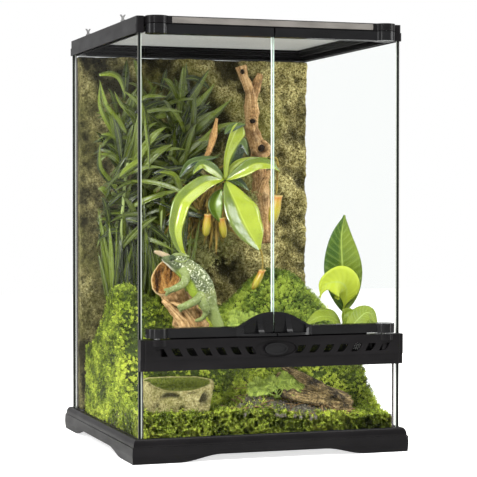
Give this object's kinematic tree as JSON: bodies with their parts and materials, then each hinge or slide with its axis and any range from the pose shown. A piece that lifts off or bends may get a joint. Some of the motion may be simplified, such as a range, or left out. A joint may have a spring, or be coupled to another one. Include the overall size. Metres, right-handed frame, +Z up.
{
  "type": "reptile terrarium",
  "caption": "Front-opening glass terrarium with hinged twin doors, a turning door lock, a ventilation bar, a lift-off screen lid and a planted rock-wall interior.",
  "frame": {"origin": "on the floor, under the middle of the whole object's box with the door handles included", "axes": "+Z up, -Y towards the doors at the front, +X to the right seen from the front"},
  "size_m": [0.302, 0.311, 0.458],
  "materials": {
    "black_plastic": "satin moulded",
    "gloss_black": "polished",
    "grey_plastic": "satin moulded",
    "grey_strip": "satin film",
    "glass": "clear float glass",
    "silicone": "smooth bead",
    "steel_mesh": "woven wire",
    "steel": "ground pin",
    "rock_foam": "coarse rock-like foam",
    "soil": "loose substrate",
    "moss": "tufted",
    "dark_leaf": "waxy leaf",
    "bright_leaf": "glossy leaf",
    "light_leaf": "soft leaf",
    "vine_wood": "weathered vine wood",
    "bark": "cork bark",
    "dish_stone": "rough cast stone",
    "lizard_skin": "fine scales"
  },
  "bodies": {
    "cabin": {"base_frame": "black_plastic", "bottom_pane": "glass", "left_pane": "glass", "right_pane": "glass", "back_pane": "glass", "front_lower_pane": "glass", "silicone_beads": "silicone", "ventilation_bar": "black_plastic", "ventilation_mesh": "steel_mesh", "top_frame": "black_plastic", "fascia_strip": "grey_strip", "hinge_pins": "steel", "background_panel": "rock_foam", "substrate": "soil", "moss_bed": "moss", "strap_leaf_plant": "dark_leaf", "strap_leaf_offshoot": "dark_leaf", "pitcher_plant": "bright_leaf", "broad_leaf_plant": "light_leaf", "forked_branch": "vine_wood", "climbing_branch": "vine_wood", "cork_log": "bark", "water_dish": "dish_stone", "chameleon": "lizard_skin"},
    "left_door": {"left_door_glass": "glass", "left_top_rail": "black_plastic", "left_bottom_rail": "black_plastic"},
    "right_door": {"right_door_glass": "glass", "right_top_rail": "black_plastic", "right_bottom_rail": "black_plastic"},
    "lock": {"lock_knob": "gloss_black", "lock_cam": "black_plastic"},
    "lid": {"lid_frame": "black_plastic", "lid_mesh": "steel_mesh"},
    "clip_fl": {"clip_front_left": "grey_plastic"},
    "clip_fr": {"clip_front_right": "grey_plastic"},
    "clip_rl": {"clip_rear_left": "grey_plastic"},
    "clip_rr": {"clip_rear_right": "grey_plastic"},
    "shutter_l": {"left_shutter": "black_plastic"},
    "shutter_r": {"right_shutter": "black_plastic"}
  },
  "joints": [
    {"name": "left_door_hinge", "type": "hinge", "parent": "cabin", "child": "left_door", "pos_m": [-0.124, -0.1415, 0.28], "axis": [0, 0, -1], "range_deg": [0, 115]},
    {"name": "right_door_hinge", "type": "hinge", "parent": "cabin", "child": "right_door", "pos_m": [0.124, -0.1415, 0.28], "axis": [0, 0, 1], "range_deg": [0, 115]},
    {"name": "lock_turn", "type": "hinge", "parent": "cabin", "child": "lock", "pos_m": [0, -0.1505, 0.1132], "axis": [0, -1, 0], "range_deg": [0, 90]},
    {"name": "lid_lift", "type": "slide", "parent": "cabin", "child": "lid", "axis": [0, 0, 1], "range_m": [0, 0.08]},
    {"name": "clip_fl_turn", "type": "hinge", "parent": "cabin", "child": "clip_fl", "pos_m": [-0.1405, -0.0715, 0.45], "axis": [0, 0, 1], "range_deg": [0, 90]},
    {"name": "clip_fr_turn", "type": "hinge", "parent": "cabin", "child": "clip_fr", "pos_m": [0.1405, -0.0715, 0.45], "axis": [0, 0, -1], "range_deg": [0, 90]},
    {"name": "clip_rl_turn", "type": "hinge", "parent": "cabin", "child": "clip_rl", "pos_m": [-0.1405, 0.0805, 0.45], "axis": [0, 0, 1], "range_deg": [0, 90]},
    {"name": "clip_rr_turn", "type": "hinge", "parent": "cabin", "child": "clip_rr", "pos_m": [0.1405, 0.0805, 0.45], "axis": [0, 0, -1], "range_deg": [0, 90]},
    {"name": "shutter_l_slide", "type": "slide", "parent": "cabin", "child": "shutter_l", "axis": [-1, 0, 0], "range_m": [0, 0.028]},
    {"name": "shutter_r_slide", "type": "slide", "parent": "cabin", "child": "shutter_r", "axis": [1, 0, 0], "range_m": [0, 0.028]}
  ]
}
